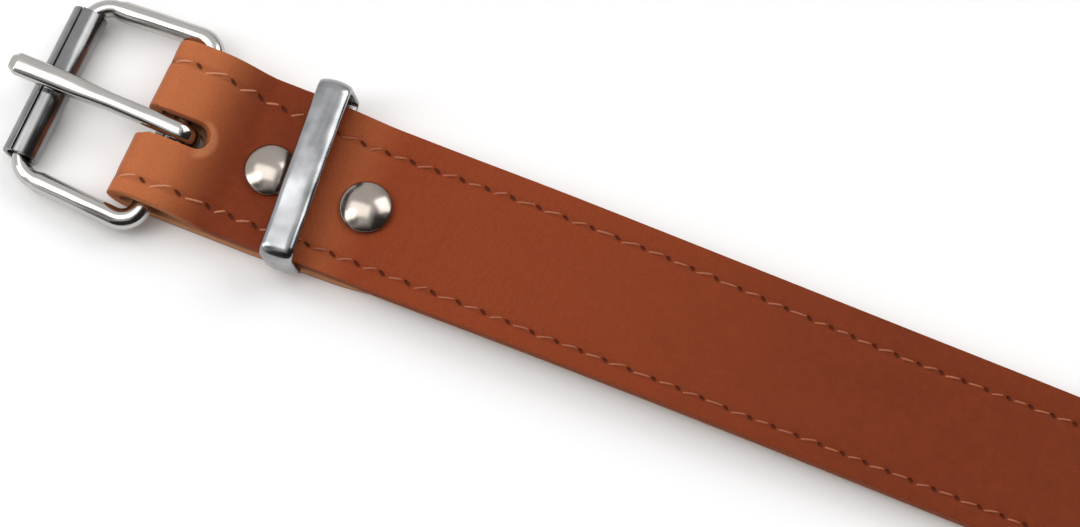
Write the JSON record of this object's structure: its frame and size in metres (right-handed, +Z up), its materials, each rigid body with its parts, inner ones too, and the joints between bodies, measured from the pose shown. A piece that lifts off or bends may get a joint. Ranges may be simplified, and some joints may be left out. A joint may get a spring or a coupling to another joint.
{
  "type": "dog collar",
  "caption": "Leather dog collar laid out open: a stitched strap folded and riveted round a roller buckle, with a metal keeper and prong holes at its free end.",
  "frame": {"origin": "centre of the bounding box at its underside, on the surface the collar lies on", "axes": "+X along the strap from the buckle to the tip of the free end, +Y across the strap, +Z up through the leather"},
  "size_m": [0.5456, 0.0413, 0.0124],
  "materials": {
    "leather": "cognac brown vegetable-tanned leather, waxed, edges dyed the same brown",
    "nickel": "bright nickel-plated steel",
    "rolled_steel": "nickel-plated sheet with brush marks along the roller"
  },
  "bodies": {
    "collar": {"strap": "leather", "keeper": "nickel", "rivet_1": "nickel", "rivet_2": "nickel"},
    "frame": {"buckle_frame": "nickel"},
    "roller": {"roller": "rolled_steel"},
    "prong": {"prong": "nickel"}
  },
  "joints": [
    {"name": "frame_hinge", "type": "hinge", "parent": "collar", "child": "frame", "pos_m": [-0.24012, -0.00036, 0.00475], "axis": [0.0297, 0.9996, 0], "range_deg": [-80, 18]},
    {"name": "prong_hinge", "type": "hinge", "parent": "frame", "child": "prong", "pos_m": [-0.24012, -0.00036, 0.00475], "axis": [0.0297, 0.9996, 0], "range_deg": [0, 80]},
    {"name": "roller_spin", "type": "hinge", "parent": "frame", "child": "roller", "pos_m": [-0.26457, 0.00037, 0.00335], "axis": [0.0297, 0.9996, 0], "continuous": true}
  ]
}
